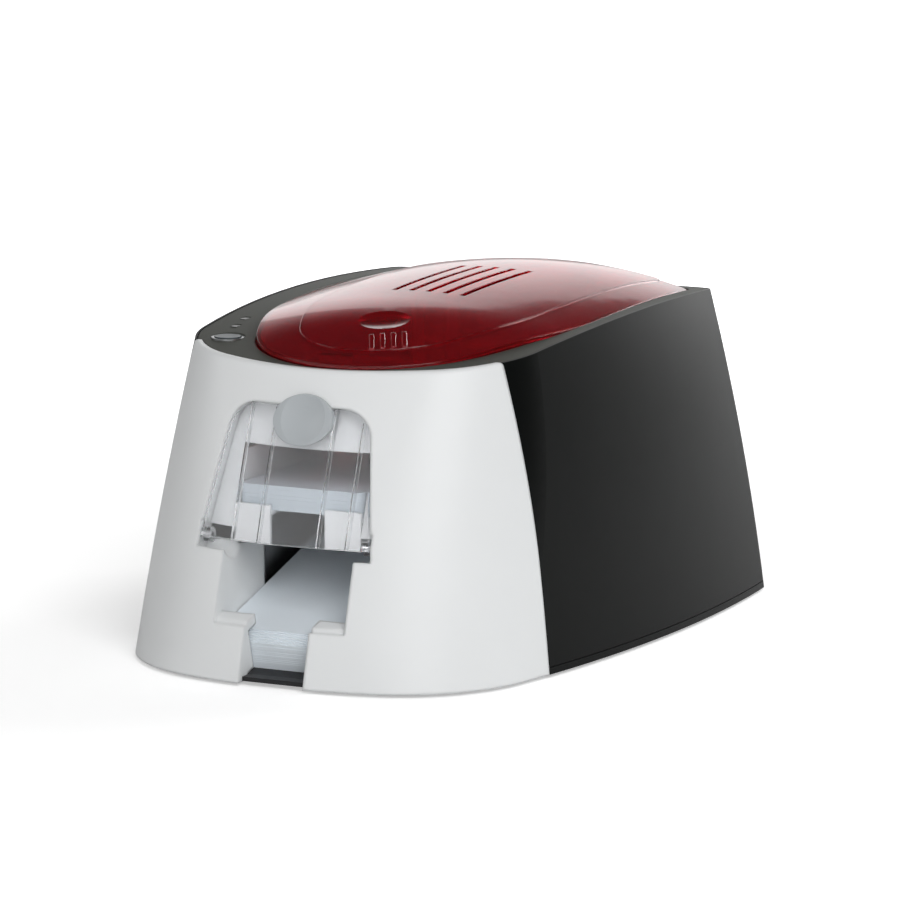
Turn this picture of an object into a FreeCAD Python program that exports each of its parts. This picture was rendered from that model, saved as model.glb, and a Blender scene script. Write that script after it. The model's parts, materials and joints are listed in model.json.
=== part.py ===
import FreeCAD, Part
import math
import os

# ID card printer: a desktop printer with a barrel-shaped body that tapers upwards.
# Lengths are in millimetres. While it is drawn, the front apex of the cover's lower edge
# is at y = 0 and z = 0, +Y runs to the back and +X to the right of a person in front.
# On export the part is centred over its footprint and lifted onto its rubber feet.

# Overall body, as three level sections of the tapering barrel
body_depth = 267.0
section_mid_height = 64.0
section_top_height = 130.0
base_front_radius = 169.0
base_front_turn = 13.7
base_corner_radius = 60.8
base_corner_turn = 76.7
base_side_radius = 660.0
mid_front_setback = 18.6
mid_front_radius = 150.0
mid_front_turn = 12.8
mid_corner_radius = 65.4
mid_corner_turn = 80.3
mid_side_radius = 672.0
top_front_setback = 43.1
top_front_radius = 124.5
top_front_turn = 22.7
top_corner_radius = 41.5
top_corner_turn = 83.6
top_side_radius = 773.0
rear_corner_radius = 7.0
rear_lean = 0.5

# Walls, seams and general clearances
wall = 2.6
seam = 0.3
cover_joint_y = 67.5
base_strip_height = 3.0
pan_thickness = 2.4
foot_height = 1.2
cut_over = 5.0
running_clearance = 0.05
seat_gap = 0.3

# Crown of the rim and of the lid
rim_crest_height = 129.1
rim_crest_y = 180.0
rim_crown_radius = 1054.0
bezel_thickness = 2.4
bezel_reveal = 1.2
bezel_lip = 0.9
cover_edge_round = 1.6
lid_offset = 2.5
lid_front_x = 4.5
lid_front_y = 43.0
lid_rear_inset = 9.0
lid_rear_y = body_depth - lid_rear_inset
lid_left_front_radius = 53.0
lid_left_flank_radius = 300.0
lid_right_front_radius = 57.0
lid_right_flank_radius = 193.0
lid_front_turn = 68.0
lid_flank_turn = 90.0
lid_rear_radius = 1200.0
lid_rear_corner = 6.0
lid_gap = 0.7
lid_thickness = 2.0
lid_edge_rise = 1.0
lid_crown_height = 9.0
lid_ramp_length = 62.0
lid_fall_y = 200.0
lid_rear_fall = 2.0
lid_crown_radius = 235.0
lid_crown_half = 83.0
lid_skirt = 1.6
lid_seat_width = 2.5
lid_seat_thickness = 1.6
crown_sections = 10
tongue_front_x = 5.0
tongue_front_y = 55.5
tongue_left_front_radius = 32.5
tongue_left_flank_radius = 170.0
tongue_right_front_radius = 42.0
tongue_right_flank_radius = 130.0
tongue_front_turn = 66.0
tongue_flank_turn = 88.0
tongue_rear_radius = 1600.0
tongue_rise = 0.6
vent_count = 5
vent_pitch = 7.6
vent_width = 2.6
vent_length = 66.0
vent_x = 5.5
vent_front_y = 130.0
dish_x = 9.6
dish_y = 84.0
dish_radius = 12.0
dish_depth = 1.4
dish_rib_count = 4
dish_rib_gap = 3.0
dish_rib_length = 12.0
dish_rib_width = 1.8
dish_rib_pitch = 4.3
dish_rib_height = 0.6
dish_rib_turn = 27.0

# Lid hinge and latch
lid_axis_inset = 6.0
lid_axis_rise = 2.6
lid_pin_radius = 1.0
lid_knuckle_radius = 2.4
lid_knuckle_width = 4.0
lid_hinge_offset = 20.0
lid_bracket_width = 5.0
latch_width = 14.0
latch_drop = 9.0
latch_thickness = 1.6
latch_setback = 9.0
latch_hook = 1.6

# Card feeder bay, its flap and the output bin in the front cover
card_width = 54.0
card_length = 85.6
card_corner = 3.2
bay_x = -1.8
bay_clearance = 1.0
bay_wall = 1.6
recess_depth = 7.0
flap_thickness = 2.0
flap_gap = 0.8
flap_x = -4.5
flap_top_height = 105.0
flap_top_half = 29.5
flap_bottom_half = 37.5
flap_corner_radius = 12.0
flap_axis_y = 25.0
flap_axis_height = 53.2
flap_ear_radius = 3.0
flap_ear_width = 3.0
flap_pin_radius = 1.2
flap_pin_length = 3.0
flap_sweep_radius = 8.8
flap_sweep_half = 27.0
flap_sweep_reach = 43.0
flap_sweep_end_radius = 5.8
flap_rib_inner = 13.0
flap_rib_outer = 25.0
flap_rib_width = 1.2
flap_rib_depth = 1.6
tab_x = -1.0
tab_height = 101.0
tab_half_width = 12.9
tab_half_height = 9.7
tab_thickness = 1.8
tab_lift = 0.5
tab_bowl_depth = 1.4
tab_bowl_radius = 9.1
window_top_height = 88.5
ledge_height = 49.0
bin_x = -0.8
bin_half_width = 28.6
bin_wall = 1.6
bin_wall_rear_y = 52.0
bin_step_height = 21.6
bin_shelf_height = 22.6
bin_shelf_thickness = 4.0
bin_shelf_overhang = 6.5
finger_half_width = 14.2

# Card stacks and trays
feeder_floor_height = 64.0
feeder_floor_thickness = 1.6
feeder_front_y = 27.0
feeder_stack_front_y = 30.0
feeder_stack_height = 9.8
feeder_lip_height = 13.0
feeder_lip_rise = 2.4
feeder_lip_thickness = 1.6
feeder_notch_half = 12.0
guide_height = 22.0
tray_slope = 15.4
tray_front_y = 10.0
tray_front_height = 0.4
tray_thickness = 1.8
tray_length = 96.0
tray_side_height = 14.0
tray_side_setback = 50.0
tray_tongue_front_y = 4.0
output_stack_height = 15.0
output_stack_setback = 5.5

# Side plates of the mechanism
plate_half_gap = 32.4
plate_thickness = 1.6
plate_front_y = 62.0
plate_rear_y = 236.0
plate_top_rise = 10.0
plate_foot_width = 9.0
beam_radius = 2.5

# Rollers, shafts and gears
roller_radius = 6.0
roller_overhang = 0.6
shaft_radius = 2.5
bush_radius = 4.2
bush_width = 3.0
card_thickness = 0.8
pick_y = 98.0
feed_front_y = 128.0
platen_y = 152.0
feed_rear_y = 176.0
upper_roller_radius = 5.0
exit_roller_radius = 8.0
exit_drop = 20.4
gear_module = 1.0
gear_width = 4.0
gear_stand = 1.2
roller_teeth = 20
idler_teeth = 18
left_idler_teeth = 16
exit_teeth = 16
pinion_teeth = 12
tooth_land_share = 0.40
tooth_root_share = 1.2
tooth_tip_share = 0.9
pinion_angle = -75.0
motor_radius = 17.0
motor_length = 20.0
motor_shaft_radius = 1.5
ribbon_motor_radius = 10.0
ribbon_motor_length = 18.0
ribbon_pinion_angle = -60.0

# Ribbon cassette and print head
supply_y = 118.0
takeup_y = 186.0
spool_height = 100.0
plate_top_height = spool_height + plate_top_rise
supply_radius = 11.0
takeup_radius = 8.0
takeup_teeth = 28
spool_flange_rise = 1.0
spool_core_radius = 5.0
spool_flange_thickness = 1.2
cassette_drop = 4.8
cassette_gap = 0.8
cassette_plate = 1.8
cassette_bar = 4.0
ribbon_width = 46.0
ribbon_film = 0.3
head_depth = 8.0
head_bar_height = 4.8
head_lift = 1.9
heatsink_height = 20.0
heatsink_fins = 5
heatsink_base = 3.0
heatsink_fin_width = 1.2
head_bracket_thickness = 2.0
head_bracket_width = 18.0
head_width = 50.0

# Card flipper behind the rollers
flipper_front_y = 188.0
flipper_rear_y = 258.0
flipper_plate = 1.4
flipper_slot = 1.6
flipper_half_width = 29.0
flipper_rail = 1.4
flipper_shaft_y = 223.0

# Electronics and connections
board_x = 60.0
board_thickness = 1.6
board_front_y = 100.0
board_rear_inset = 15.0
board_rear_y = body_depth - board_rear_inset
board_bottom_height = 16.0
board_top_height = 92.0
board_post = 3.0
port_depth = 12.0
usb_width = 12.0
usb_height = 11.0
usb_centre_height = 30.0
inlet_width = 11.0
inlet_height = 12.0
inlet_centre_height = 52.0
inlet_bore_radius = 3.0
inlet_pin_radius = 1.0
port_clearance = 0.4
chip_size = 14.0
chip_height = 1.6
chip_pitch = 26.0
chip_count = 3
vent_slot_count = 7
vent_slot_pitch = 7.0
vent_slot_width = 3.0
vent_slot_height = 34.0
vent_slot_centre = 80.0
lock_slot_width = 7.0
lock_slot_height = 3.0
lock_slot_x = -70.0
lock_slot_centre = 24.0

# Button, status lights, feet and screws
button_x = -57.0
button_y = 74.5
button_radius = 5.4
button_gap = 0.3
button_ring_width = 1.1
button_height = 6.0
button_crown = 0.4
light_length = 5.0
light_width = 2.6
light_depth = 2.0
light_front_x = -62.5
light_front_y = 92.0
light_rear_x = -65.0
light_rear_y = 105.0
foot_radius = 6.5
foot_thickness = 2.4
foot_side = 66.0
foot_front_y = 50.0
foot_rear_inset = 27.0
foot_rear_y = body_depth - foot_rear_inset
screw_radius = 1.5
screw_head_radius = 2.8
screw_head_height = 1.6
deck_drop = 5.0
deck_height = spool_height - deck_drop
deck_thickness = 1.8
deck_front_y = 56.0
deck_rear_y = 101.0
deck_half_width = 48.0


def vec(x, y, z):
    return FreeCAD.Vector(x, y, z)


def box(x0, x1, y0, y1, z0, z1):
    return Part.makeBox(x1 - x0, y1 - y0, z1 - z0, vec(x0, y0, z0))


def rod_x(x0, x1, y, z, radius):
    return Part.makeCylinder(radius, x1 - x0, vec(x0, y, z), vec(1, 0, 0))


def rod_y(x, y0, y1, z, radius):
    return Part.makeCylinder(radius, y1 - y0, vec(x, y0, z), vec(0, 1, 0))


def rod_z(x, y, z0, z1, radius):
    return Part.makeCylinder(radius, z1 - z0, vec(x, y, z0), vec(0, 0, 1))


def tube_x(x0, x1, y, z, radius, bore):
    return rod_x(x0, x1, y, z, radius).cut(rod_x(x0, x1, y, z, bore))


def fuse(shapes):
    result = shapes[0].multiFuse(shapes[1:])
    return result.removeSplitter()


def rim_height(y):
    drop = math.sqrt(rim_crown_radius ** 2 - (y - rim_crest_y) ** 2)
    return rim_crest_height - rim_crown_radius + drop


def arc(points):
    return Part.Arc(points[0], points[1], points[2]).toShape()


def half_outline(front_y, radii, turns, rear_y, corner, inset):
    """Right half of a barrel outline: front, flank and side arcs, then the rear corner.

    Each item is the three points of one arc. The arcs are tangent to each other.
    """
    arcs = []
    centre_x = 0
    centre_y = front_y + radii[0]
    start = 0
    for radius, next_radius, turn in zip(radii, radii[1:] + [radii[-1]], turns + [None]):
        if turn is None:
            reach = radius - corner
            corner_x = centre_x + math.sqrt(reach ** 2 - (rear_y - corner - centre_y) ** 2)
            corner_y = rear_y - corner
            end = math.atan2(corner_x - centre_x, centre_y - corner_y)
        else:
            end = math.radians(turn)
        arcs.append(arc_points(centre_x, centre_y, radius - inset, start, end))
        if turn is not None:
            centre_x = centre_x + (radius - next_radius) * math.sin(end)
            centre_y = centre_y - (radius - next_radius) * math.cos(end)
        start = end
    arcs.append(arc_points(corner_x, corner_y, corner - inset, start, math.pi))
    return arcs


def arc_points(centre_x, centre_y, radius, start, end):
    angles = [start, (start + end) / 2, end]
    return [(centre_x + radius * math.sin(a), centre_y - radius * math.cos(a)) for a in angles]


def outline_wire(half, height, shift):
    """Closed wire at one height from the right half of an outline, mirrored about x = shift."""
    def point(p, side):
        return vec(shift + side * p[0], p[1], height)
    front = half[0]
    edges = [arc([point(front[2], -1), point(front[0], 1), point(front[2], 1)])]
    for points in half[1:]:
        edges.append(arc([point(p, 1) for p in points]))
    rear = half[-1][2]
    edges.append(Part.LineSegment(point(rear, 1), point(rear, -1)).toShape())
    for points in reversed(half[1:]):
        edges.append(arc([point(p, -1) for p in reversed(points)]))
    return Part.Wire(edges)


def lopsided_wire(right, left, height, shift):
    """Closed wire from two different halves that share a front apex at x = shift."""
    def point(p, side):
        return vec(shift + side * p[0], p[1], height)
    edges = [arc([point(p, 1) for p in points]) for points in right]
    edges.append(Part.LineSegment(point(right[-1][2], 1), point(left[-1][2], -1)).toShape())
    for points in reversed(left):
        edges.append(arc([point(p, -1) for p in reversed(points)]))
    return Part.Wire(edges)


def barrel(inset):
    """Solid barrel of the whole body, drawn in by an inset all round."""
    sections = [
        (0, 0, [base_front_radius, base_corner_radius, base_side_radius],
         [base_front_turn, base_corner_turn], body_depth),
        (section_mid_height, mid_front_setback,
         [mid_front_radius, mid_corner_radius, mid_side_radius],
         [mid_front_turn, mid_corner_turn], body_depth - rear_lean / 2),
        (section_top_height, top_front_setback,
         [top_front_radius, top_corner_radius, top_side_radius],
         [top_front_turn, top_corner_turn], body_depth - rear_lean),
    ]
    wires = []
    for height, front_y, radii, turns, rear_y in sections:
        half = half_outline(front_y, radii, turns, rear_y, rear_corner_radius, inset)
        wires.append(outline_wire(half, height, 0))
    return Part.makeLoft(wires, True, False)


def lid_wire(inset):
    """Outline of the lid, which is cut back on the left to leave room for the button."""
    turns = [lid_front_turn, lid_flank_turn]
    right = [lid_right_front_radius, lid_right_flank_radius, lid_rear_radius]
    left = [lid_left_front_radius, lid_left_flank_radius, lid_rear_radius]
    halves = [half_outline(lid_front_y, radii, turns, lid_rear_y, lid_rear_corner, inset)
              for radii in (right, left)]
    return lopsided_wire(halves[0], halves[1], section_mid_height, lid_front_x)


def tongue_wire():
    """Outline of the raised middle of the lid."""
    turns = [tongue_front_turn, tongue_flank_turn]
    right = [tongue_right_front_radius, tongue_right_flank_radius, tongue_rear_radius]
    left = [tongue_left_front_radius, tongue_left_flank_radius, tongue_rear_radius]
    halves = [half_outline(tongue_front_y, radii, turns, lid_rear_y, lid_rear_corner, 0)
              for radii in (right, left)]
    return lopsided_wire(halves[0], halves[1], section_mid_height, tongue_front_x)


def skin(outer_inset, inner_inset, shape):
    """Part of the body's wall between two insets, within a given shape."""
    return barrel(outer_inset).common(shape).cut(barrel(inner_inset))


def column(wire):
    """Upright prism over an outline, through the height of the rim and the lid."""
    return Part.Face(wire).extrude(vec(0, 0, section_top_height))


def rim_band(low, high):
    """Band that follows the curved rim from one offset to another, right across the body."""
    reach = base_side_radius
    y0 = -cut_over
    y1 = body_depth + cut_over
    mid = (y0 + y1) / 2

    def at(y, offset):
        return vec(-reach, y, rim_height(y) + offset)
    edges = [
        arc([at(y0, low), at(mid, low), at(y1, low)]),
        Part.LineSegment(at(y1, low), at(y1, high)).toShape(),
        arc([at(y1, high), at(mid, high), at(y0, high)]),
        Part.LineSegment(at(y0, high), at(y0, low)).toShape(),
    ]
    return Part.Face(Part.Wire(edges)).extrude(vec(2 * reach, 0, 0))


def below_rim(offset):
    return rim_band(-section_top_height, offset)


def above_rim(offset):
    return rim_band(offset, section_top_height)


def front_region():
    half = base_side_radius
    return box(-half, half, -cut_over, cover_joint_y - seam / 2, -cut_over, 2 * section_top_height)


def rear_region():
    half = base_side_radius
    rear = body_depth + cut_over
    return box(-half, half, cover_joint_y + seam / 2, rear, -cut_over, 2 * section_top_height)


def crown_centre_height(y):
    """Height of the lid's crest line: it swells from the front edge to full height."""
    along = min(max((y - lid_front_y) / lid_ramp_length, 0), 1)
    swell = lid_crown_height * math.sin(along * math.pi / 2)
    tail = max((y - lid_fall_y) / (lid_rear_y - lid_fall_y), 0)
    return rim_height(y) + lid_edge_rise + swell - lid_rear_fall * tail ** 2


def crown(offset):
    """Solid under the lid's curved skin, shifted up or down by an offset."""
    half = lid_crown_half
    drop = lid_crown_radius - math.sqrt(lid_crown_radius ** 2 - half ** 2)
    front = lid_front_y - cut_over
    rear = lid_rear_y + cut_over
    wires = []
    for i in range(crown_sections + 1):
        y = front + (rear - front) * i / crown_sections
        top = crown_centre_height(y) + offset
        low = section_mid_height
        left = vec(lid_offset - half, y, top - drop)
        right = vec(lid_offset + half, y, top - drop)
        left_low = vec(lid_offset - half, y, low)
        right_low = vec(lid_offset + half, y, low)
        edges = [
            arc([left, vec(lid_offset, y, top), right]),
            Part.LineSegment(right, right_low).toShape(),
            Part.LineSegment(right_low, left_low).toShape(),
            Part.LineSegment(left_low, left).toShape(),
        ]
        wires.append(Part.Wire(edges))
    return Part.makeLoft(wires, True, False)


def front_prism(points, y0, y1):
    """Prism along Y over a front-view polygon of x and z pairs."""
    corners = [vec(x, y0, z) for x, z in points]
    wire = Part.makePolygon(corners + [corners[0]])
    return Part.Face(wire).extrude(vec(0, y1 - y0, 0))


def side_prism(points, x0, x1):
    """Prism along X over a side-view polygon of y and z pairs."""
    corners = [vec(x0, y, z) for y, z in points]
    wire = Part.makePolygon(corners + [corners[0]])
    return Part.Face(wire).extrude(vec(x1 - x0, 0, 0))


def flap_prism(grow, bottom):
    """Front-view shape of the feeder flap, grown all round, down to a given height."""
    slope = (flap_bottom_half - flap_top_half) / (flap_top_height - flap_axis_height)
    top = flap_top_height + grow
    top_half = flap_top_half + grow
    low_half = flap_top_half + grow + slope * (top - bottom)
    lean = math.atan(slope)
    radius = flap_corner_radius + grow
    cut = radius * math.tan((math.pi / 2 - lean) / 2)
    corner = (flap_x + top_half, top)
    along_top = (corner[0] - cut, top)
    down_side = (corner[0] + cut * math.sin(lean), top - cut * math.cos(lean))
    centre = (along_top[0], top - radius)
    turn = (math.pi / 2 - lean) / 2
    middle = (centre[0] + radius * math.sin(turn), centre[1] + radius * math.cos(turn))
    low = (flap_x + low_half, bottom)

    def point(p, side):
        return vec(flap_x + side * (p[0] - flap_x), -cut_over, p[1])
    edges = [
        Part.LineSegment(point(along_top, -1), point(along_top, 1)).toShape(),
        arc([point(along_top, 1), point(middle, 1), point(down_side, 1)]),
        Part.LineSegment(point(down_side, 1), point(low, 1)).toShape(),
        Part.LineSegment(point(low, 1), point(low, -1)).toShape(),
        Part.LineSegment(point(low, -1), point(down_side, -1)).toShape(),
        arc([point(down_side, -1), point(middle, -1), point(along_top, -1)]),
    ]
    return Part.Face(Part.Wire(edges)).extrude(vec(0, cover_joint_y, 0))


def bin_prism(grow):
    """Front-view shape of the stepped output opening and its finger slot."""
    wide = bin_half_width + grow
    narrow = finger_half_width + grow
    step = bin_step_height - grow
    top = ledge_height + cut_over
    points = [
        (bin_x - wide, top), (bin_x + wide, top), (bin_x + wide, step),
        (bin_x + narrow, step), (bin_x + narrow, -cut_over),
        (bin_x - narrow, -cut_over), (bin_x - narrow, step), (bin_x - wide, step),
    ]
    return front_prism(points, -cut_over, cover_joint_y)


def bin_walls():
    """Deep side walls of the output opening, with a hollow ledge on both sides of the slot.

    Each ledge slopes with the tray and reaches a little over the finished cards.
    """
    stack_y = tray_front_y + output_stack_setback
    shapes = []
    for side in (-1, 1):
        near = bin_x + side * bin_half_width
        far = near + side * bin_wall
        shapes.append(box(min(near, far), max(near, far), 0, bin_wall_rear_y,
                          pan_thickness + seat_gap, ledge_height))
        slot = bin_x + side * finger_half_width
        ledge = box(min(slot, far), max(slot, far), -cut_over, stack_y - seat_gap,
                    -cut_over, bin_shelf_height)
        inside = slot + side * bin_wall
        hollow = box(min(inside, near), max(inside, near), -2 * cut_over, stack_y - seat_gap - bin_wall,
                     -2 * cut_over, bin_shelf_height - bin_wall)
        shapes.append(tray_turn(ledge.cut(hollow)))
        shapes.append(tray_turn(box(min(slot, far), max(slot, far),
                                    stack_y - seat_gap - bin_wall, stack_y + bin_shelf_overhang,
                                    bin_shelf_height - bin_shelf_thickness, bin_shelf_height)))
        shapes.append(flap_trough(side, far))
    return fuse(shapes).common(barrel(wall - seam)).cut(flap_sweep(0))


def flap_trough(side, inner):
    """Curved wall under one lower corner of the flap, outside a deep side wall of the bin."""
    outer = flap_x + side * (flap_bottom_half + flap_gap + bay_wall)
    bowl = flap_sweep(bay_wall).common(box(min(inner, outer), max(inner, outer), 0, cover_joint_y,
                                           0, flap_axis_height - flap_ear_radius))
    return bowl


def flap_sweep(grow):
    """Room that the lower edge of the flap sweeps through, narrower towards its ends."""
    radius = flap_sweep_radius + grow
    shapes = [rod_x(-flap_sweep_half, flap_sweep_half, flap_axis_y, flap_axis_height, radius)]
    length = flap_sweep_reach - flap_sweep_half
    for side in (-1, 1):
        start = vec(side * flap_sweep_half, flap_axis_y, flap_axis_height)
        shapes.append(Part.makeCone(radius, flap_sweep_end_radius + grow, length, start, vec(side, 0, 0)))
    half = flap_bottom_half + flap_gap + grow
    limit = box(flap_x - half, flap_x + half, 0, cover_joint_y, 0, section_top_height)
    return fuse(shapes).common(limit)


def front_skin_y(height):
    """Approximate y of the cover's outer face on its centre line at one height."""
    along = (height - section_mid_height) / (section_top_height - section_mid_height)
    return mid_front_setback + along * (top_front_setback - mid_front_setback)


def rounded_front():
    """Solid front part of the body with its upper outer edge rounded."""
    solid = barrel(0).common(front_region()).common(below_rim(0))
    rim_edges = []
    for edge in solid.Edges:
        ends = [v.Point for v in edge.Vertexes]
        level = all(abs(p.z - rim_height(p.y)) < seam for p in ends)
        ahead = all(p.y < cover_joint_y - seam for p in ends)
        joint_ends = sum(1 for p in ends if p.y > cover_joint_y - seam)
        if level and (ahead or joint_ends == 1):
            rim_edges.append(edge)
    return solid.makeFillet(cover_edge_round, rim_edges)


def front_cover():
    lips = skin(wall - seam, wall + recess_depth, flap_prism(flap_gap + bay_wall, ledge_height - bay_wall))
    cover = fuse([rounded_front().cut(barrel(wall)), lips]).common(front_region())
    cover = cover.cut(flap_prism(flap_gap, ledge_height))
    cover = cover.cut(bin_prism(0))
    cover = cover.cut(flap_sweep(0))
    cover = fuse([cover, bin_walls()])
    for side in (-1, 1):
        cover = cover.cut(flap_pin_shape(side, running_clearance))
    cover = cover.cut(floor_block().cut(tray_recess()))
    return cover.cut(tray_room())


def tray_room():
    """Room through the bin's walls for the floor of the output tray."""
    half = bin_half_width - seat_gap / 2
    return tray_turn(box(bin_x - half, bin_x + half, tray_front_y - seat_gap, bin_wall_rear_y + cut_over,
                         tray_front_height - seat_gap, tray_front_height + tray_thickness + seat_gap))


def floor_block():
    """Room for the base pan behind the front cover."""
    return barrel(wall + seam).common(box(-body_depth, body_depth, 0, body_depth, -cut_over, pan_thickness))


def rear_shell():
    shell = barrel(0).cut(barrel(wall))
    low = box(-body_depth, body_depth, 0, 2 * body_depth, -cut_over, base_strip_height)
    shell = shell.common(rear_region()).common(below_rim(0)).cut(low)
    rebate = barrel(bezel_lip).common(above_rim(-bezel_thickness - seam))
    shell = shell.cut(rebate)
    for cutter in rear_openings():
        shell = shell.cut(cutter)
    return shell


def port_box(width, height, centre_height, grow):
    x0 = board_x + board_thickness / 2
    half = height / 2 + grow
    y0 = body_depth - wall - port_depth
    low = centre_height - half
    high = centre_height + half
    return box(x0 - grow, x0 + width + grow, y0, body_depth + cut_over, low, high)


def rear_openings():
    cutters = [
        port_box(usb_width, usb_height, usb_centre_height, port_clearance),
        port_box(inlet_width, inlet_height, inlet_centre_height, port_clearance),
        box(lock_slot_x - lock_slot_width / 2, lock_slot_x + lock_slot_width / 2,
            body_depth - wall - cut_over, body_depth + cut_over,
            lock_slot_centre - lock_slot_height / 2, lock_slot_centre + lock_slot_height / 2),
    ]
    for i in range(vent_slot_count):
        x = (i - (vent_slot_count - 1) / 2) * vent_slot_pitch
        cutters.append(box(x - vent_slot_width / 2, x + vent_slot_width / 2,
                           body_depth - wall - cut_over, body_depth + cut_over,
                           vent_slot_centre - vent_slot_height / 2,
                           vent_slot_centre + vent_slot_height / 2))
    return cutters


def base_pan():
    rim = barrel(0).common(rear_region())
    rim = rim.common(box(-body_depth, body_depth, 0, body_depth, 0, base_strip_height - seam))
    rim = rim.cut(barrel(wall + seam))
    inner = barrel(wall + seam).common(box(-body_depth, body_depth, 0, body_depth, 0, pan_thickness))
    pan = fuse([rim, inner, pan_bridge()] + board_posts())
    pan = pan.cut(tray_recess())
    for x, y in foot_places():
        pan = pan.cut(rod_z(x, y, -cut_over, foot_thickness - foot_height, foot_radius))
    for x, y in screw_places():
        pan = pan.cut(rod_z(x, y, -cut_over, pan_thickness + cut_over, screw_radius + running_clearance))
        pan = pan.cut(rod_z(x, y, -cut_over, screw_head_height, screw_head_radius + seat_gap))
    return pan


def tray_recess():
    """Cut-out in the pan for the front of the output tray."""
    half = bin_half_width
    rise = pan_thickness + seat_gap + tray_thickness - tray_front_height
    depth = tray_front_y + rise / math.tan(math.radians(tray_slope))
    return box(bin_x - half, bin_x + half, 0, depth, -cut_over, pan_thickness + cut_over)


def pan_bridge():
    """Rim of the pan under the dark shell, joined to the floor."""
    slab = box(-body_depth, body_depth, 0, body_depth, 0, pan_thickness)
    return barrel(0).common(rear_region()).common(slab)


def foot_places():
    return [(side * foot_side, y) for side in (-1, 1) for y in (foot_front_y, foot_rear_y)]


def screw_places():
    inset = foot_radius + screw_head_radius + wall
    return [(side * (foot_side - inset), y) for side in (-1, 1) for y in (foot_front_y + inset, foot_rear_y)]


def rubber_foot(x, y):
    return rod_z(x, y, -foot_height, foot_thickness - foot_height, foot_radius - seat_gap)


def base_screw(x, y):
    head = rod_z(x, y, 0, screw_head_height, screw_head_radius)
    shank = rod_z(x, y, screw_head_height, board_bottom_height / 2, screw_radius)
    return fuse([head, shank])


def latch_keeper():
    """Catch under the front of the rim that the lid's hook snaps behind."""
    y = lid_front_y + latch_setback - latch_hook - seat_gap
    low = rim_height(y) - latch_drop
    high = rim_height(lid_front_y) - bezel_thickness - lid_seat_thickness / 2
    half = latch_width / 2 + latch_hook
    return box(lid_offset - half, lid_offset + half, lid_front_y, y, low + 2 * latch_hook, high)


def top_bezel():
    rear_part = barrel(bezel_reveal).common(rear_region())
    front_part = barrel(wall + seam).common(box(-body_depth, body_depth, 0, cover_joint_y + seam / 2,
                                                0, 2 * section_top_height))
    plate = fuse([rear_part, front_part]).common(rim_band(-bezel_thickness, -seam / 2))
    plate = plate.cut(column(lid_wire(-lid_gap)))
    seat_low = -bezel_thickness - lid_seat_thickness
    seat = column(lid_wire(-lid_gap - lid_seat_width))
    seat = seat.cut(column(lid_wire(lid_seat_width)))
    seat = seat.common(rim_band(seat_low, -bezel_thickness)).common(barrel(wall + seam))
    rear_gap = box(-body_depth / 2, body_depth / 2,
                   lid_rear_y - lid_rear_corner - lid_axis_inset, lid_rear_y + lid_gap,
                   section_mid_height, 2 * section_top_height)
    bezel = fuse([plate, seat.cut(rear_gap), latch_keeper()])
    bezel = bezel.cut(rod_z(button_x, button_y, section_mid_height, 2 * section_top_height,
                            button_radius + button_gap + button_ring_width))
    for x, y in light_places():
        bezel = bezel.cut(light_block(x, y, running_clearance, cut_over))
    return bezel


def light_places():
    return [(light_front_x, light_front_y), (light_rear_x, light_rear_y)]


def light_block(x, y, grow, over):
    half_width = light_width / 2 + grow
    half_length = light_length / 2 + grow
    top = rim_height(y) - seam / 2
    return box(x - half_width, x + half_width, y - half_length, y + half_length,
               top - light_depth - over, top + over)


def button_top():
    return rim_height(button_y) - seam / 2


def power_button():
    """Button cap with the flange that keeps it under the ring."""
    top = button_top() + button_crown
    body = rod_z(button_x, button_y, top - button_height, top, button_radius)
    flange = rod_z(button_x, button_y, top - button_height, top - button_height + button_ring_width,
                   button_radius + button_gap + button_ring_width)
    return fuse([body, flange])


def button_ring():
    top = button_top()
    ring = rod_z(button_x, button_y, top - bezel_thickness, top,
                 button_radius + button_gap + button_ring_width - running_clearance)
    return ring.cut(rod_z(button_x, button_y, top - cut_over, top + cut_over, button_radius + button_gap))


def lid_axis():
    y = lid_rear_y - lid_axis_inset
    return y, rim_height(y) + lid_axis_rise


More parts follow.
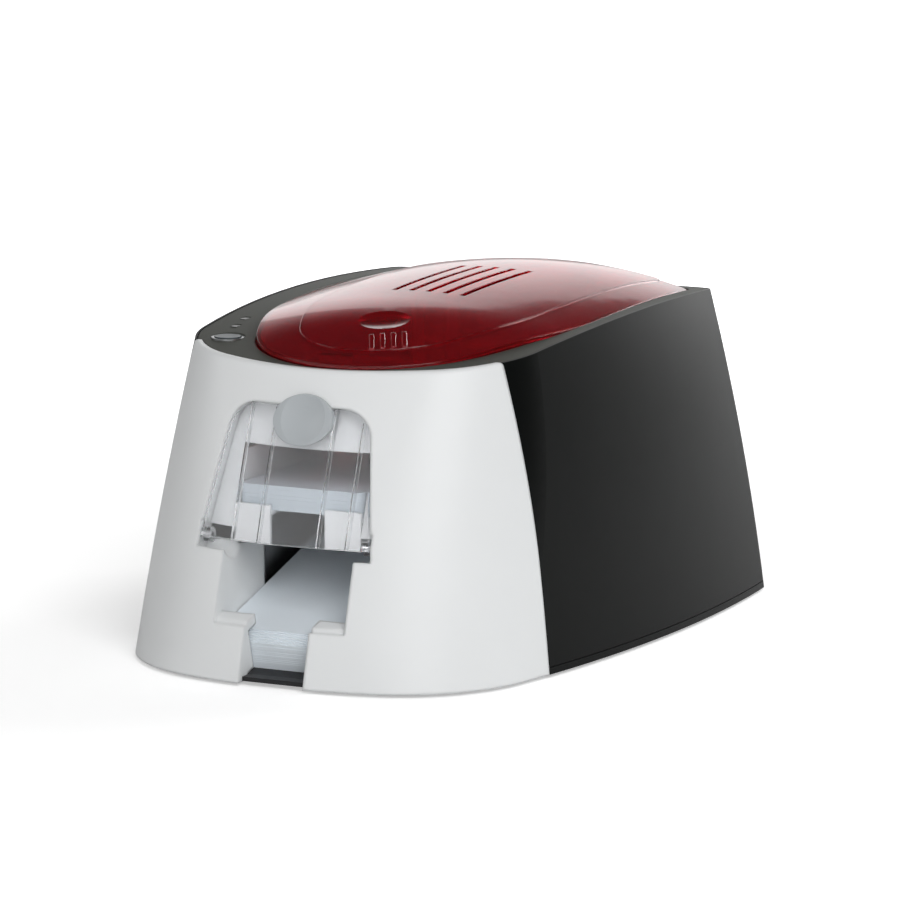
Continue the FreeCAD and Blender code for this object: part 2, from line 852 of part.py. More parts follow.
def lid():
    skin = crown(0).common(column(lid_wire(0)))
    raised = crown(tongue_rise).common(column(tongue_wire()))
    raised = raised.common(column(lid_wire(0)))
    outer = fuse([skin, raised]).common(above_rim(-lid_skirt))
    hollow = crown(-lid_thickness).common(column(lid_wire(lid_thickness)))
    shell = outer.cut(hollow)
    for i in range(vent_count):
        x = vent_x + (i - (vent_count - 1) / 2) * vent_pitch
        rear = vent_front_y + vent_length
        slot = box(x - vent_width / 2, x + vent_width / 2, vent_front_y, rear,
                   section_mid_height, 2 * section_top_height)
        shell = shell.cut(slot)
    axis_y, axis_z = lid_axis()
    for side in (-1, 1):
        half = lid_bracket_width / 2 + seat_gap
        middle = side * lid_hinge_offset
        shell = shell.cut(box(middle - half, middle + half, axis_y, lid_rear_y + cut_over,
                              section_mid_height, axis_z + lid_pin_radius))
    surface = crown_centre_height(dish_y) + tongue_rise
    sphere = (dish_radius ** 2 + dish_depth ** 2) / (2 * dish_depth)
    rise = crown_centre_height(dish_y + seam) - crown_centre_height(dish_y - seam)
    slope = rise / (2 * seam)
    lean = math.atan(slope)
    back = sphere - dish_depth
    centre = vec(dish_x, dish_y - back * math.sin(lean), surface + back * math.cos(lean))
    shell = shell.cut(Part.makeSphere(sphere, centre))
    ribs = []
    for i in range(dish_rib_count):
        x = dish_x + (i - (dish_rib_count - 1) / 2) * dish_rib_pitch
        y1 = dish_y - dish_radius - dish_rib_gap
        y0 = y1 - dish_rib_length
        rib = box(x - dish_rib_width / 2, x + dish_rib_width / 2, y0, y1,
                  section_mid_height, 2 * section_top_height)
        rib.rotate(vec(dish_x, dish_y, 0), vec(0, 0, 1), dish_rib_turn)
        ribs.append(rib)
    rib_block = fuse(ribs).common(crown(tongue_rise + dish_rib_height)).cut(crown(tongue_rise / 2))
    return fuse([shell, rib_block] + lid_knuckles() + [lid_latch()])


def lid_knuckles():
    y, z = lid_axis()
    ears = []
    for side in (-1, 1):
        middle = side * lid_hinge_offset
        for way in (-1, 1):
            inner = middle + way * (lid_bracket_width / 2 + seat_gap)
            outer = inner + way * lid_knuckle_width
            x0 = min(inner, outer)
            x1 = max(inner, outer)
            ear = rod_x(x0, x1, y, z, lid_knuckle_radius)
            web = box(x0, x1, y - lid_knuckle_radius, y + lid_knuckle_radius, z, 2 * section_top_height)
            ear = fuse([ear, web.common(crown(-lid_thickness / 2))])
            ears.append(ear.cut(rod_x(x0, x1, y, z, lid_pin_radius + running_clearance)))
    return ears


def lid_latch():
    y = lid_front_y + latch_setback
    half = latch_width / 2
    top = crown_centre_height(y)
    low = rim_height(y) - latch_drop
    tongue = box(lid_offset - half, lid_offset + half, y, y + latch_thickness, low, top)
    tongue = tongue.common(crown(-lid_thickness / 2))
    hook = side_prism([(y, low), (y - latch_hook, low + latch_hook), (y, low + 2 * latch_hook)],
                      lid_offset - half, lid_offset + half)
    return fuse([tongue, hook])


def hinge_bracket(side):
    y, z = lid_axis()
    middle = side * lid_hinge_offset
    x0 = middle - lid_bracket_width / 2
    x1 = middle + lid_bracket_width / 2
    eye = rod_x(x0, x1, y, z, lid_knuckle_radius)
    low = rim_height(y) - bezel_thickness * 4
    post = box(x0, x1, y - lid_knuckle_radius, y + lid_knuckle_radius, low, z)
    rear = body_depth - wall - rear_lean - seat_gap
    foot = box(x0 - lid_bracket_width, x1 + lid_bracket_width, y - lid_knuckle_radius, rear,
               low, low + bezel_thickness)
    bracket = fuse([eye, post, foot])
    return bracket.cut(rod_x(x0, x1, y, z, lid_pin_radius + running_clearance))


def hinge_pin(side):
    y, z = lid_axis()
    middle = side * lid_hinge_offset
    half = lid_bracket_width / 2 + seat_gap + lid_knuckle_width
    return rod_x(middle - half, middle + half, y, z, lid_pin_radius)


def feeder_flap():
    shape = flap_prism(0, flap_axis_height)
    sheet = skin(seam, seam + flap_thickness, shape)
    ribs = []
    for offset in (-flap_rib_outer, -flap_rib_inner, flap_rib_inner, flap_rib_outer):
        x = bay_x + offset
        ribs.append(box(x - flap_rib_width / 2, x + flap_rib_width / 2, 0, cover_joint_y,
                        flap_axis_height, flap_top_height))
    rib_shape = Part.makeCompound(ribs).common(shape)
    rib_block = skin(seam + flap_thickness / 2, seam + flap_thickness + flap_rib_depth, rib_shape)
    return fuse([sheet, rib_block] + flap_ears())


def flap_ears():
    """Ears at both lower corners: a disc on the flap's axis joined to the skin."""
    ears = []
    band = barrel(seam + flap_thickness / 2)
    for side in (-1, 1):
        outer = flap_x + side * (flap_bottom_half - flap_gap)
        inner = outer - side * flap_ear_width
        x0 = min(outer, inner)
        x1 = max(outer, inner)
        disc = rod_x(x0, x1, flap_axis_y, flap_axis_height, flap_ear_radius)
        web = box(x0, x1, 0, flap_axis_y, flap_axis_height, flap_axis_height + flap_ear_radius)
        ear = fuse([disc, web]).common(band)
        bore = rod_x(x0, x1, flap_axis_y, flap_axis_height, flap_pin_radius + running_clearance)
        ears.append(ear.cut(bore))
    return ears


def flap_pin_shape(side, grow):
    """Stub that carries one ear of the flap, or with some growth its hole in the cover."""
    inner = flap_x + side * (flap_bottom_half - flap_gap - flap_ear_width)
    outer = inner + side * (flap_ear_width + flap_gap + flap_pin_length + grow)
    return rod_x(min(inner, outer), max(inner, outer), flap_axis_y, flap_axis_height,
                 flap_pin_radius + grow)


def flap_thumb_tab():
    """Oval tab that stands off the skin, with a shallow bowl in its face.

    It rests on the flap and overlaps the cover above it.
    """
    oval = Part.Ellipse(vec(0, 0, 0), tab_half_width, tab_half_height).toShape()
    disc = Part.Face(Part.Wire([oval])).extrude(vec(0, 0, cover_joint_y + cut_over))
    disc.rotate(vec(0, 0, 0), vec(1, 0, 0), -90)
    disc.translate(vec(tab_x, -cut_over, tab_height))
    plate = skin(-tab_lift - tab_thickness, -tab_lift, disc)
    foot = skin(-tab_lift - tab_thickness / 2, seam, disc.common(flap_prism(0, flap_axis_height)))
    lean = math.atan((top_front_setback - mid_front_setback) / (section_top_height - section_mid_height))
    sphere = (tab_bowl_radius ** 2 + tab_bowl_depth ** 2) / (2 * tab_bowl_depth)
    back = sphere - tab_bowl_depth + (tab_lift + tab_thickness)
    centre = vec(tab_x, front_skin_y(tab_height) - back * math.cos(lean), tab_height + back * math.sin(lean))
    return fuse([plate, foot]).cut(Part.makeSphere(sphere, centre))


def feeder_frame():
    """Fixed arch behind the flap, around the window into the card bay."""
    low = flap_axis_height + flap_ear_radius + seat_gap
    shape = flap_prism(flap_gap - seat_gap, low)
    half = card_width / 2 + bay_clearance
    window = box(bay_x - half, bay_x + half, -cut_over, cover_joint_y, 0, window_top_height)
    panel = skin(wall + recess_depth - bay_wall, wall + recess_depth, shape)
    return panel.cut(window)


def feeder_tray():
    """Floor with side guides behind the frame, and a notched lip that fills its window."""
    half = card_width / 2 + bay_clearance
    rear = feeder_stack_front_y + card_length + seat_gap
    top = feeder_floor_height
    low = top - feeder_floor_thickness
    slim = half - seat_gap
    shapes = [box(bay_x - half - bay_wall, bay_x + half + bay_wall, feeder_front_y, rear, low, top)]
    for side in (-1, 1):
        inner = bay_x + side * half
        outer = inner + side * bay_wall
        shapes.append(box(min(inner, outer), max(inner, outer), feeder_front_y, rear,
                          low, top + guide_height))
    behind = fuse(shapes).common(barrel(wall + recess_depth + seat_gap))
    floor = box(bay_x - slim, bay_x + slim, feeder_front_y, feeder_stack_front_y + slim, low, top)
    lip = box(bay_x - slim, bay_x + slim, feeder_front_y, feeder_front_y + feeder_lip_thickness,
              top - feeder_lip_height, top + feeder_lip_rise)
    tray = fuse([behind, floor, lip])
    notch = box(bay_x - feeder_notch_half, bay_x + feeder_notch_half, 0,
                feeder_stack_front_y + feeder_notch_half, 0, section_top_height)
    gap = roller_radius + seat_gap
    reach = card_width / 2 + roller_overhang + seat_gap
    roller_gap = box(bay_x - reach, bay_x + reach, pick_y - gap, pick_y + gap, 0, top)
    return tray.cut(notch).cut(roller_gap)


def card_block(front_y, low, height):
    """Stack of cards with rounded corners."""
    block = box(bay_x - card_width / 2, bay_x + card_width / 2, front_y, front_y + card_length,
                low, low + height)
    upright = [e for e in block.Edges if abs(e.Vertexes[0].Z - e.Vertexes[1].Z) > height / 2]
    return block.makeFillet(card_corner, upright)


def tray_turn(shape):
    """Tilts a level shape about the front edge of the output tray."""
    shape.rotate(vec(0, tray_front_y, tray_front_height), vec(1, 0, 0), tray_slope)
    return shape


def output_tray():
    """Sloping floor with side walls, and a flat tongue in the finger slot."""
    front_half = bin_half_width - seat_gap
    half = card_width / 2 + bay_clearance + bay_wall
    low = tray_front_height
    top = low + tray_thickness
    step = tray_front_y + tray_side_setback
    rear = tray_front_y + tray_length
    shapes = [
        box(bin_x - front_half, bin_x + front_half, tray_front_y, step + bay_wall, low, top),
        box(bay_x - half, bay_x + half, step, rear, low, top),
    ]
    for side in (-1, 1):
        outer = bay_x + side * half
        inner = outer - side * bay_wall
        shapes.append(box(min(inner, outer), max(inner, outer), step, rear, low, low + tray_side_height))
    tongue_half_width = finger_half_width - seat_gap
    tongue = box(bin_x - tongue_half_width, bin_x + tongue_half_width,
                 tray_tongue_front_y, tray_front_y + tray_thickness, low, top)
    return fuse([tray_turn(fuse(shapes)), tongue])


def output_cards():
    front = tray_front_y + output_stack_setback
    return tray_turn(card_block(front, tray_front_height + tray_thickness, output_stack_height))


def plate_x(side):
    inner = bay_x + side * plate_half_gap
    outer = inner + side * plate_thickness
    return min(inner, outer), max(inner, outer)


def roller_height():
    return feeder_floor_height - seat_gap - roller_radius


def upper_roller_height():
    return feeder_floor_height + card_thickness + seat_gap + upper_roller_radius


def pitch_radius(teeth):
    return gear_module * teeth / 2


def idler_place(y0, y1, teeth):
    """Centre of an idler that meshes with two roller gears at equal height."""
    reach = pitch_radius(roller_teeth) + pitch_radius(teeth)
    half = (y1 - y0) / 2
    return (y0 + y1) / 2, roller_height() - math.sqrt(reach ** 2 - half ** 2)


def exit_place():
    y, z = idler_place(feed_front_y, platen_y, idler_teeth)
    reach = pitch_radius(idler_teeth) + pitch_radius(exit_teeth)
    exit_z = roller_height() - exit_drop
    return y - math.sqrt(reach ** 2 - (z - exit_z) ** 2), exit_z


def motor_place():
    y, z = idler_place(platen_y, feed_rear_y, idler_teeth)
    reach = pitch_radius(idler_teeth) + pitch_radius(pinion_teeth)
    angle = math.radians(pinion_angle)
    return y + reach * math.cos(angle), z + reach * math.sin(angle)


def ribbon_motor_place():
    reach = pitch_radius(takeup_teeth) + pitch_radius(pinion_teeth)
    angle = math.radians(ribbon_pinion_angle)
    return takeup_y + reach * math.cos(angle), spool_height + reach * math.sin(angle)


def shaft_holes(side):
    """Bush and shaft holes through one side plate: centre and radius of each."""
    places = []
    for y in (pick_y, feed_front_y, platen_y, feed_rear_y):
        places.append((y, roller_height(), bush_radius))
    exit_y, exit_z = exit_place()
    places.append((exit_y, exit_z, bush_radius))
    places.append((feed_front_y, upper_roller_height(), shaft_radius + running_clearance))
    places.append((flipper_shaft_y, flipper_height(), shaft_radius + running_clearance))
    if side > 0:
        motor_y, motor_z = motor_place()
        places.append((motor_y, motor_z, pitch_radius(pinion_teeth) / 2))
        places.append((takeup_y, spool_height, shaft_radius + running_clearance))
        places.append((ribbon_motor_place() + (motor_shaft_radius + running_clearance,)))
    return places


def side_plate(side):
    x0, x1 = plate_x(side)
    plate = box(x0, x1, plate_front_y, plate_rear_y, pan_thickness, plate_top_height)
    foot_outer = x1 + plate_foot_width if side > 0 else x0 - plate_foot_width
    foot = box(min(x0, foot_outer), max(x1, foot_outer), plate_front_y, plate_rear_y,
               pan_thickness, pan_thickness + plate_thickness)
    plate = fuse([plate, foot])
    for y, z, radius in shaft_holes(side):
        plate = plate.cut(rod_x(x0 - cut_over, x1 + cut_over, y, z, radius))
    return plate


def tie_bar(y, z):
    left = plate_x(-1)[1]
    right = plate_x(1)[0]
    return rod_x(left, right, y, z, beam_radius)


def bush(side, y, z):
    x0, x1 = plate_x(side)
    middle = (x0 + x1) / 2
    return tube_x(middle - bush_width / 2, middle + bush_width / 2, y, z, bush_radius,
                  shaft_radius + running_clearance)


def shaft_reach(left_gear, right_gear):
    """Ends of a shaft, longer on a side that carries a gear."""
    stub = gear_stand / 2
    gear = gear_stand + gear_width + stub
    left = plate_x(-1)[0] - (gear if left_gear else stub)
    right = plate_x(1)[1] + (gear if right_gear else stub)
    return left, right


def roller_span():
    """Ends of a card roller, a little wider than the card."""
    half = card_width / 2 + roller_overhang
    return bay_x - half, bay_x + half


def rubber_roller(y, z, radius):
    x0, x1 = roller_span()
    return tube_x(x0, x1, y, z, radius, shaft_radius)


def gear_shape(y, z, x0, teeth, bore, phase):
    """Spur gear on an X axis: one closed outline of straight-flanked teeth."""
    pitch = pitch_radius(teeth)
    root = pitch - tooth_root_share * gear_module
    tip = pitch + tooth_tip_share * gear_module
    step = 2 * math.pi / teeth
    half_root = step * (1 - tooth_land_share) / 2
    half_tip = step * tooth_land_share / 4
    points = []
    for i in range(teeth):
        angle = phase + i * step
        for radius, turn in ((root, -half_root), (tip, -half_tip), (tip, half_tip), (root, half_root)):
            points.append((y + radius * math.cos(angle + turn), z + radius * math.sin(angle + turn)))
    blank = side_prism(points, x0, x0 + gear_width)
    return blank.cut(rod_x(x0 - cut_over, x0 + gear_width + cut_over, y, z, bore))


def mesh_phase(driver, driven_place, driven_teeth):
    """Phase of a gear that meshes with a driver given as place, teeth and phase."""
    (y0, z0), teeth, phase = driver
    y1, z1 = driven_place
    direction = math.atan2(z1 - z0, y1 - y0)
    turns = teeth * (direction - phase) / (2 * math.pi)
    return direction + math.pi - (2 * math.pi / driven_teeth) * (0.5 - turns)


def right_gear_x():
    return plate_x(1)[1] + gear_stand


def left_gear_x():
    return plate_x(-1)[0] - gear_stand - gear_width


def gears():
    """Every gear as name: (place, teeth, phase, x of its left face, bore)."""
    height = roller_height()
    right = right_gear_x()
    left = left_gear_x()
    platen = ((platen_y, height), roller_teeth, 0)
    rear_idler_place = idler_place(platen_y, feed_rear_y, idler_teeth)
    front_idler_place = idler_place(feed_front_y, platen_y, idler_teeth)
    rear_idler = (rear_idler_place, idler_teeth, mesh_phase(platen, rear_idler_place, idler_teeth))
    front_idler = (front_idler_place, idler_teeth, mesh_phase(platen, front_idler_place, idler_teeth))
    feed_rear = ((feed_rear_y, height), roller_teeth,
                 mesh_phase(rear_idler, (feed_rear_y, height), roller_teeth))
    feed_front = ((feed_front_y, height), roller_teeth,
                  mesh_phase(front_idler, (feed_front_y, height), roller_teeth))
    exit_gear = (exit_place(), exit_teeth, mesh_phase(front_idler, exit_place(), exit_teeth))
    motor = (motor_place(), pinion_teeth, mesh_phase(rear_idler, motor_place(), pinion_teeth))
    feed_left = ((feed_front_y, height), roller_teeth, 0)
    left_idler_place = idler_place(pick_y, feed_front_y, left_idler_teeth)
    left_idler = (left_idler_place, left_idler_teeth,
                  mesh_phase(feed_left, left_idler_place, left_idler_teeth))
    pick = ((pick_y, height), roller_teeth, mesh_phase(left_idler, (pick_y, height), roller_teeth))
    takeup = ((takeup_y, spool_height), takeup_teeth, 0)
    ribbon = (ribbon_motor_place(), pinion_teeth,
              mesh_phase(takeup, ribbon_motor_place(), pinion_teeth))
    return {
        "platen_gear": platen + (right, shaft_radius),
        "rear_idler_gear": rear_idler + (right, shaft_radius + running_clearance),
        "front_idler_gear": front_idler + (right, shaft_radius + running_clearance),
        "rear_feed_gear": feed_rear + (right, shaft_radius),
        "front_feed_gear": feed_front + (right, shaft_radius),
        "exit_gear": exit_gear + (right, shaft_radius),
        "motor_pinion": motor + (right, motor_shaft_radius),
        "front_feed_gear_left": feed_left + (left, shaft_radius),
        "left_idler_gear": left_idler + (left, shaft_radius + running_clearance),
        "pick_gear": pick + (left, shaft_radius),
        "takeup_gear": takeup + (right, shaft_radius),
        "ribbon_pinion": ribbon + (right, motor_shaft_radius),
    }


def gear_node(name):
    (y, z), teeth, phase, x0, bore = gears()[name]
    return gear_shape(y, z, x0, teeth, bore, phase)


def idler_post(place, side):
    """Fixed stud that an idler gear turns on, with a head that keeps the gear."""
    y, z = place
    if side > 0:
        start = plate_x(1)[1]
        end = right_gear_x() + gear_width + seat_gap
        stud = rod_x(start, end, y, z, shaft_radius)
        head = rod_x(end, end + plate_thickness, y, z, shaft_radius + gear_module)
        return fuse([stud, head])
    start = plate_x(-1)[0]
    end = left_gear_x() - seat_gap
    stud = rod_x(end, start, y, z, shaft_radius)
    head = rod_x(end - plate_thickness, end, y, z, shaft_radius + gear_module)
    return fuse([stud, head])


def drive_motor():
    y, z = motor_place()
    right = plate_x(1)[0]
    can = rod_x(right - motor_length, right, y, z, motor_radius)
    boss = rod_x(right, right + plate_thickness, y, z, pitch_radius(pinion_teeth) / 2 - running_clearance)
    body = fuse([can, boss])
    return body.cut(rod_x(right - motor_length / 2, right + motor_length, y, z,
                          motor_shaft_radius + running_clearance))


def ribbon_motor():
    y, z = ribbon_motor_place()
    right = plate_x(1)[0]
    can = rod_x(right - ribbon_motor_length, right, y, z, ribbon_motor_radius)
    return can.cut(rod_x(right - ribbon_motor_length / 2, right + cut_over, y, z,
                         motor_shaft_radius + running_clearance))


def pinion_on_shaft(name, body_length):
    """Motor pinion with its steel shaft, which starts inside the motor."""
    (y, z), teeth, phase, x0, bore = gears()[name]
    right = plate_x(1)[0]
    shaft = rod_x(right - body_length / 2 + seat_gap, x0 + gear_width, y, z, bore)
    return fuse([gear_shape(y, z, x0, teeth, bore, phase), shaft])


def cassette_span():
    """Inner faces of the cassette's end plates."""
    half = plate_half_gap - cassette_gap - cassette_plate
    return bay_x - half, bay_x + half


def ribbon_cassette():
    """Frame of two end plates and two bars that carries both spools."""
    inner_left, inner_right = cassette_span()
    reach = supply_radius + spool_flange_rise + seat_gap
    top = spool_height + reach
    front = supply_y - reach - cassette_bar
    rear = takeup_y + takeup_radius + spool_flange_rise + seat_gap + cassette_bar
    shapes = []
    for x0, x1 in ((inner_left - cassette_plate, inner_left), (inner_right, inner_right + cassette_plate)):
        end = box(x0, x1, front, rear, spool_height - cassette_drop, top)
        for y in (supply_y, takeup_y):
            end = end.cut(rod_x(x0, x1, y, spool_height, shaft_radius + running_clearance))
        shapes.append(end)
    for y in (front, rear - cassette_bar):
        shapes.append(box(inner_left, inner_right, y, y + cassette_bar, top - cassette_bar, top))
    return fuse(shapes)


def spool(y, radius):
    """Ribbon core with two flanges and its wound film."""
    inner_left, inner_right = cassette_span()
    gap = seat_gap
    half = ribbon_width / 2
    core = rod_x(inner_left + gap, inner_right - gap, y, spool_height, spool_core_radius)
    film = rod_x(bay_x - half, bay_x + half, y, spool_height, radius)
    flanges = []
    for side in (-1, 1):
        inner = bay_x + side * (half + gap)
        outer = inner + side * spool_flange_thickness
        flanges.append(rod_x(min(inner, outer), max(inner, outer), y, spool_height,
                             radius + spool_flange_rise))
    return fuse([core, film] + flanges)


def supply_spool():
    """Full spool with the two journals that turn in the cassette."""
    inner_left, inner_right = cassette_span()
    journals = rod_x(inner_left - cassette_plate, inner_right + cassette_plate,
                     supply_y, spool_height, shaft_radius)
    return fuse([spool(supply_y, supply_radius), journals])


def takeup_spool():
    inner_left, inner_right = cassette_span()
    bore = rod_x(inner_left, inner_right, takeup_y, spool_height, shaft_radius)
    return spool(takeup_y, takeup_radius).cut(bore)


def takeup_drive():
    """Spindle that turns the take-up spool, moulded in one with its gear."""
    (y, z), teeth, phase, x0, bore = gears()["takeup_gear"]
    left = cassette_span()[0] - cassette_plate
    spindle = rod_x(left, x0 + gear_width, y, z, bore)
    return fuse([gear_shape(y, z, x0, teeth, bore, phase), spindle])


def ribbon_web():
    """Film between the spools, drawn down under the print head."""
    low = feeder_floor_height + card_thickness + seat_gap
    front = platen_y - head_depth / 2
    rear = platen_y + head_depth / 2
    start = (supply_y + supply_radius + seat_gap + ribbon_film, spool_height)
    end = (takeup_y - takeup_radius - seat_gap - ribbon_film, spool_height)
    path = [start, (front, low + ribbon_film), (rear, low + ribbon_film), end]
    under = [(end[0] + ribbon_film, end[1]), (rear + ribbon_film, low), (front - ribbon_film, low),
             (start[0] - ribbon_film, start[1])]
    half = ribbon_width / 2
    return side_prism(path + under, bay_x - half, bay_x + half)


def head_bottom():
    return feeder_floor_height + card_thickness + head_lift


def print_head():
    half = head_width / 2
    y0 = platen_y - head_depth / 2
    low = head_bottom()
    return box(bay_x - half, bay_x + half, y0, y0 + head_depth, low, low + head_bar_height)


def head_heatsink():
    half = head_width / 2
    y0 = platen_y - head_depth / 2
    low = head_bottom() + head_bar_height
    shapes = [box(bay_x - half, bay_x + half, y0, y0 + head_depth, low, low + heatsink_base)]
    pitch = (head_depth - heatsink_fin_width) / (heatsink_fins - 1)
    for i in range(heatsink_fins):
        y = y0 + i * pitch
        shapes.append(box(bay_x - half, bay_x + half, y, y + heatsink_fin_width,
                          low, low + heatsink_height))
    return fuse(shapes)


def head_bracket():
    """Arm that hangs the print head from the lid."""
    half = head_bracket_width / 2
    low = head_bottom() + head_bar_height + heatsink_height
    y0 = platen_y - head_depth / 2
    plate = box(bay_x - head_width / 2, bay_x + head_width / 2, y0, y0 + head_depth,
                low, low + head_bracket_thickness)
    top = crown_centre_height(platen_y) - lid_thickness - seat_gap
    post = box(bay_x - half, bay_x + half, y0, y0 + head_depth, low, top)
    hollow = box(bay_x - half + head_bracket_thickness, bay_x + half - head_bracket_thickness,
                 y0 - cut_over, y0 + head_depth + cut_over,
                 low + head_bracket_thickness, top - head_bracket_thickness)
    return fuse([plate, post.cut(hollow)]).common(crown(-lid_thickness - seat_gap))


def flipper_height():
    return feeder_floor_height + card_thickness / 2


def card_flipper():
    """Tilting guide: two plates with a card slot between them, and a rail at each side."""
    middle = flipper_height()
    half_slot = flipper_slot / 2
    x0 = bay_x - flipper_half_width
    x1 = bay_x + flipper_half_width
    low = box(x0, x1, flipper_front_y, flipper_rear_y,
              middle - half_slot - flipper_plate, middle - half_slot)
    high = box(x0, x1, flipper_front_y, flipper_rear_y,
               middle + half_slot, middle + half_slot + flipper_plate)
    rails = [
        box(x0, x0 + flipper_rail, flipper_front_y, flipper_rear_y, middle - half_slot, middle + half_slot),
        box(x1 - flipper_rail, x1, flipper_front_y, flipper_rear_y, middle - half_slot, middle + half_slot),
    ]
    pivots = []
    for side in (-1, 1):
        inner = bay_x + side * (flipper_half_width - flipper_rail)
        outer = plate_x(side)[1] if side > 0 else plate_x(side)[0]
        pivots.append(rod_x(min(inner, outer), max(inner, outer), flipper_shaft_y, middle, shaft_radius))
    return fuse([low, high] + rails + pivots)


def main_board():
    x0 = board_x - board_thickness / 2
    shapes = [box(x0, x0 + board_thickness, board_front_y, board_rear_y,
                  board_bottom_height, board_top_height)]
    face = x0 + board_thickness
    for i in range(chip_count):
        y = board_front_y + chip_size + i * chip_pitch
        z = (board_bottom_height + board_top_height) / 2
        shapes.append(box(face, face + chip_height, y, y + chip_size, z, z + chip_size))
    return fuse(shapes)


def board_posts():
    """Two posts and a rail of the floor pan that hold the main board."""
    x1 = board_x - board_thickness / 2
    shapes = []
    for y in (board_front_y, board_rear_y - board_post * 2):
        shapes.append(box(x1 - board_post, x1, y, y + board_post * 2, pan_thickness,
                          board_bottom_height + board_post * 3))
    shapes.append(box(x1 - board_post, x1, board_front_y, board_rear_y, pan_thickness,
                      pan_thickness + board_post))
    return shapes


def usb_port():
    x0 = board_x + board_thickness / 2
    y1 = body_depth - rear_lean
    y0 = y1 - wall - port_depth
    low = usb_centre_height - usb_height / 2
    shell = box(x0, x0 + usb_width, y0, y1, low, low + usb_height)
    mouth = box(x0 + port_clearance * 2, x0 + usb_width - port_clearance * 2, y1 - port_depth / 2,
                y1 + cut_over, low + port_clearance * 2, low + usb_height - port_clearance * 2)
    return shell.cut(mouth)


def power_inlet():
    x0 = board_x + board_thickness / 2
    y1 = body_depth - rear_lean
    y0 = y1 - wall - port_depth
    low = inlet_centre_height - inlet_height / 2
    shell = box(x0, x0 + inlet_width, y0, y1, low, low + inlet_height)
    x = x0 + inlet_width / 2
    bore = rod_y(x, y1 - port_depth, y1 + cut_over, inlet_centre_height, inlet_bore_radius)
    pin = rod_y(x, y1 - port_depth, y1 - wall, inlet_centre_height, inlet_pin_radius)
    return fuse([shell.cut(bore), pin])


def inner_deck():
    """Dark deck over the card feeder, seen through the front of the lid."""
    x0 = bay_x - deck_half_width
    x1 = bay_x + deck_half_width
    deck = box(x0, x1, deck_front_y, deck_rear_y, deck_height, deck_height + deck_thickness)
    skirts = []
    for side in (-1, 1):
        face = plate_x(side)[1] if side > 0 else plate_x(side)[0]
        outer = face + side * deck_thickness
        skirts.append(box(min(face, outer), max(face, outer), plate_front_y, deck_rear_y,
                          deck_height - feeder_lip_height, deck_height))
    deck = fuse([deck] + skirts)
    for side in (-1, 1):
        x0, x1 = plate_x(side)
        slot = box(x0, x1, plate_front_y, deck_rear_y + cut_over, deck_height - cut_over,
                   deck_height + deck_thickness)
        deck = deck.cut(slot)
    return deck


def roller_pair(name, y, z, left_gear, right_gear):
    """Rubber roller and the steel shaft that it is bonded to."""
    left, right = shaft_reach(left_gear, right_gear)
    return {
        name + "_roller": rubber_roller(y, z, roller_radius),
        name + "_shaft": rod_x(left, right, y, z, shaft_radius),
    }


def moulded_roller(y, z, radius, right_gear):
    """Roller moulded in one with its journals."""
    left, right = shaft_reach(False, right_gear)
    return fuse([rubber_roller(y, z, radius), rod_x(left, right, y, z, shaft_radius)])


def bearings():
    """Every bush in the two side plates."""
    exit_y, exit_z = exit_place()
    places = [(y, roller_height()) for y in (pick_y, feed_front_y, platen_y, feed_rear_y)]
    places.append((exit_y, exit_z))
    return [bush(side, y, z) for side in (-1, 1) for y, z in places]


def tie_bars():
    low = pan_thickness + plate_foot_width
    high = plate_top_height - plate_foot_width
    places = [(plate_rear_y - plate_foot_width, low), (plate_rear_y - plate_foot_width, high),
              (plate_front_y + plate_foot_width, deck_height - 2 * beam_radius)]
    return [tie_bar(y, z) for y, z in places]


def idler_posts():
    return [
        idler_post(idler_place(platen_y, feed_rear_y, idler_teeth), 1),
        idler_post(idler_place(feed_front_y, platen_y, idler_teeth), 1),
        idler_post(idler_place(pick_y, feed_front_y, left_idler_teeth), -1),
    ]


